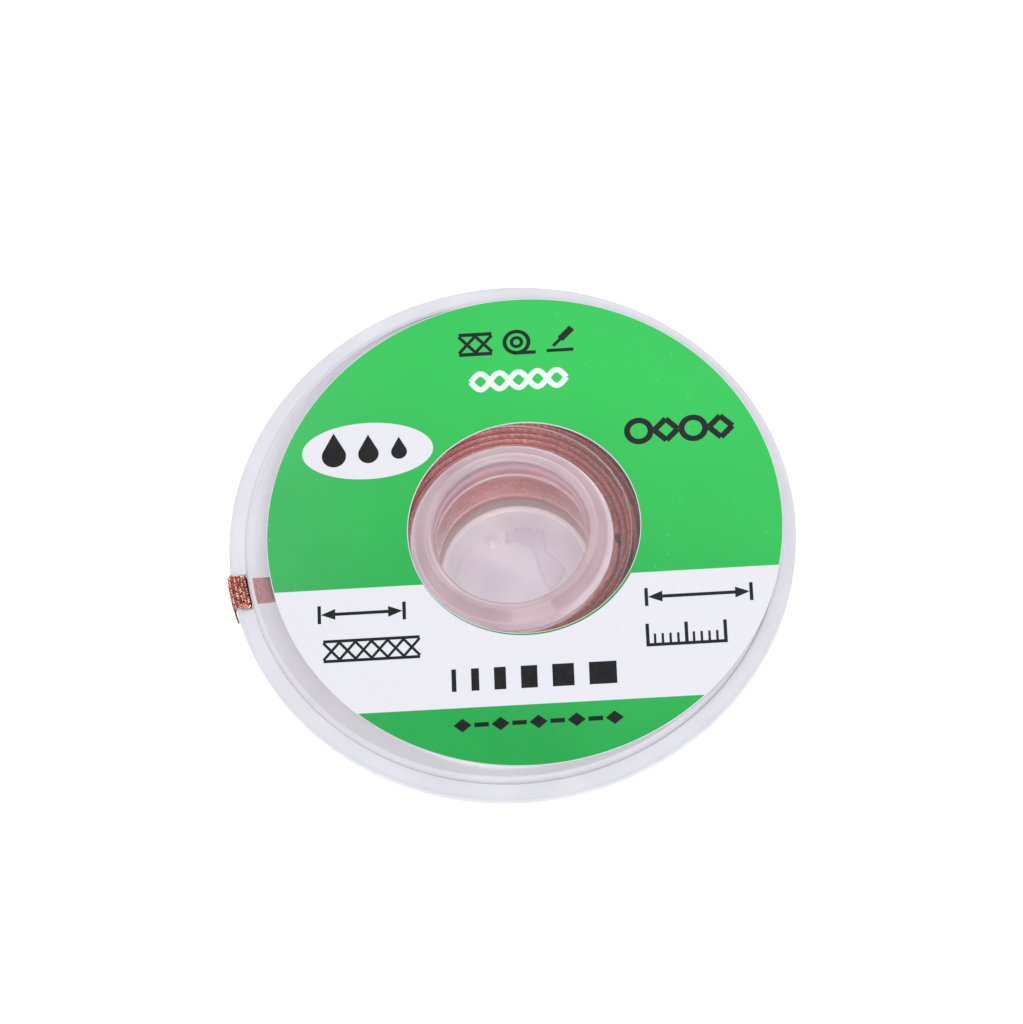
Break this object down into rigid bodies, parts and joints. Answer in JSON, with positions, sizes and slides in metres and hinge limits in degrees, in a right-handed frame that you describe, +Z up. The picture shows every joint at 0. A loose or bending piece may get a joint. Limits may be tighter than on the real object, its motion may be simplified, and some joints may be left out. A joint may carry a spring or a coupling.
{
  "type": "desoldering braid",
  "caption": "Flat reel of woven copper desoldering braid in a round clear plastic case with a blind hub bore, a ring-shaped paper label on the cover and the braid's loose end out over the rim.",
  "frame": {"origin": "on the hub's axis, at the flat underside that the reel lies on", "axes": "+Z up along the hub's axis, out of the bore's mouth; +X along the label's lines, towards their right end; +Y to the label's top"},
  "size_m": [0.0443, 0.044, 0.0092],
  "materials": {
    "clear_plastic": "clear moulded styrene, slightly milky, glossy",
    "copper_braid": "woven bare copper wire, bright crowns and brown flux between the strands",
    "label_paper": "coated paper printed green with a white band, thin white cut edge"
  },
  "bodies": {
    "root": {"front_cover": "clear_plastic", "back_dish": "clear_plastic", "copper_braid": "copper_braid", "paper_label": "label_paper"}
  },
  "joints": []
}
